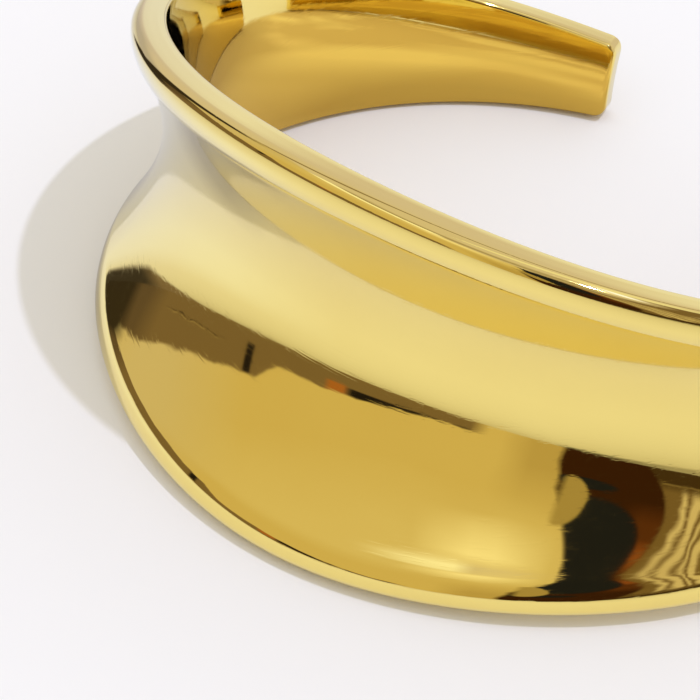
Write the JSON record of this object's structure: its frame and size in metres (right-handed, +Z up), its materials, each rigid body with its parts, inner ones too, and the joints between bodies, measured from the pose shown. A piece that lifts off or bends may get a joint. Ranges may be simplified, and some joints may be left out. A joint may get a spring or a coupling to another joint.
{
  "type": "cuff bracelet",
  "caption": "Open cuff bracelet in polished gold-coloured metal: a wide band with a concave outer face and flared, rounded rims, narrowing to the ends.",
  "frame": {"origin": "on the table, under the middle of the outline seen from above", "axes": "+Z up from the table, -Y towards the wide front of the band, +Y towards the opening between the ends"},
  "size_m": [0.0668, 0.0588, 0.031],
  "materials": {
    "gold": "mirror-polished gold plating on brass"
  },
  "bodies": {
    "root": {"cuff": "gold"}
  },
  "joints": []
}
